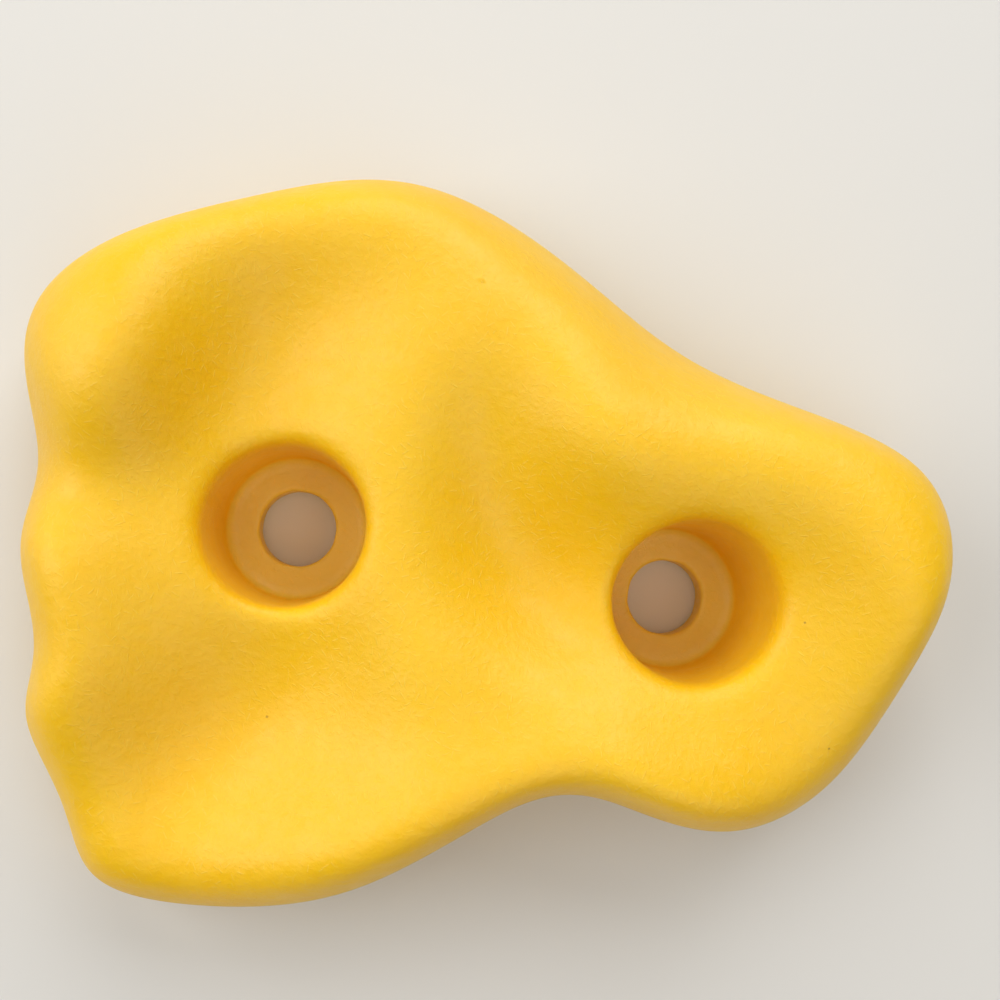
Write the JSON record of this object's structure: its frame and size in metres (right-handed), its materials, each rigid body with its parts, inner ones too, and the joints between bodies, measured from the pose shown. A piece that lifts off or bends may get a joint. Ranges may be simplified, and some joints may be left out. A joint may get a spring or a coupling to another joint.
{
  "type": "climbing hold",
  "caption": "Freeform plastic climbing hold with finger ridges, counterbored bolt sockets and a hollow ribbed back that rests flat on the wall.",
  "frame": {"origin": "midway between the bolt holes, on the plane of the flat back that rests on the wall", "axes": "+X runs along the line of the bolt holes, from the wide end towards the narrow nose. +Z points out of the wall, through the grip face. +Y completes the right-handed set, towards the longer, higher side."},
  "size_m": [0.1315, 0.1057, 0.0341],
  "materials": {
    "hold": "satin"
  },
  "bodies": {
    "root": {"hold": "hold"}
  },
  "joints": []
}
